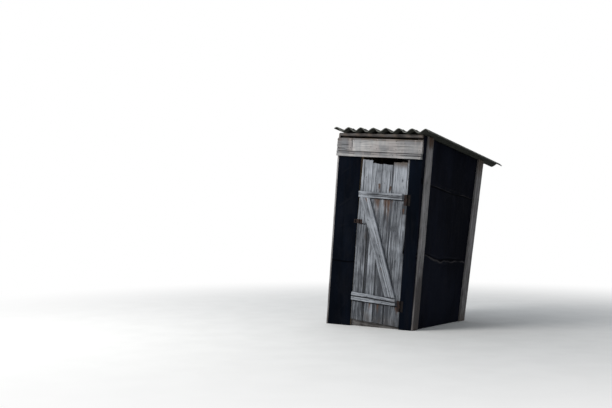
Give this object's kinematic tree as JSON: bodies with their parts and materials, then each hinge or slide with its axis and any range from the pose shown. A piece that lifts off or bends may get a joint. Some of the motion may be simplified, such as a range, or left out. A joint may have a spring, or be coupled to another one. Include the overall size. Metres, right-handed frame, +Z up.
{
  "type": "wooden outhouse",
  "caption": "Small leaning plank outhouse covered in black felt, with a ledged and braced plank door and a corrugated lean-to roof.",
  "frame": {"origin": "on the ground, in the middle of the object's own box as seen from above", "axes": "+Z up, the doorway faces -Y, +X to the right of someone who faces the door; the hut leans towards +X"},
  "size_m": [1.2902, 1.6892, 2.0546],
  "materials": {
    "grey_boards": "weathered blue-grey planks, unpainted",
    "pale_boards": "weathered pale boards, unpainted",
    "brown_boards": "weathered brown-grey boards, unpainted",
    "inner_timber": "rough sawn timber, unpainted",
    "felt": "matt bitumen roofing felt",
    "cement_sheet": "rough fibre cement, mossy",
    "rusty_steel": "rusted steel"
  },
  "bodies": {
    "shed": {"ground_sills": "inner_timber", "floor_joists": "inner_timber", "floor_boards": "inner_timber", "corner_posts": "inner_timber", "door_posts": "inner_timber", "front_top_rail": "inner_timber", "back_top_rail": "inner_timber", "wall_girts": "inner_timber", "left_wall": "inner_timber", "right_wall": "inner_timber", "back_wall": "inner_timber", "front_wall_left": "inner_timber", "front_wall_right": "inner_timber", "front_wall_over_door": "inner_timber", "front_left_felt": "felt", "front_right_felt": "felt", "left_felt": "felt", "back_felt": "felt", "right_felt_upper": "felt", "right_felt_middle": "felt", "right_felt_lower": "felt", "left_front_corner_board": "brown_boards", "left_back_corner_board": "brown_boards", "right_front_corner_board": "brown_boards", "right_back_corner_board": "brown_boards", "header_board_long": "pale_boards", "header_board_short": "pale_boards", "header_lath": "pale_boards", "rafters": "brown_boards", "roof_battens": "pale_boards", "roof_sheet": "cement_sheet", "upper_hinge_post_leaf": "rusty_steel", "lower_hinge_post_leaf": "rusty_steel", "hasp_staple": "rusty_steel"},
    "door": {"door_plank_1": "grey_boards", "door_plank_2": "grey_boards", "door_plank_3": "grey_boards", "door_plank_4": "grey_boards", "door_upper_ledge": "grey_boards", "door_lower_ledge": "grey_boards", "door_brace": "grey_boards", "upper_hinge_door_leaf": "rusty_steel", "lower_hinge_door_leaf": "rusty_steel", "hasp_base": "rusty_steel"},
    "hasp": {"hasp_strap": "rusty_steel"}
  },
  "joints": [
    {"name": "door_hinge", "type": "hinge", "parent": "shed", "child": "door", "pos_m": [0.23248, -0.76248, -0.02987], "axis": [0.0837, 0, 0.9965], "range_deg": [0, 100]},
    {"name": "hasp_hinge", "type": "hinge", "parent": "door", "child": "hasp", "pos_m": [-0.3126, -0.76308, 0.0159], "axis": [0.0837, 0, 0.9965], "range_deg": [0, 170]}
  ]
}
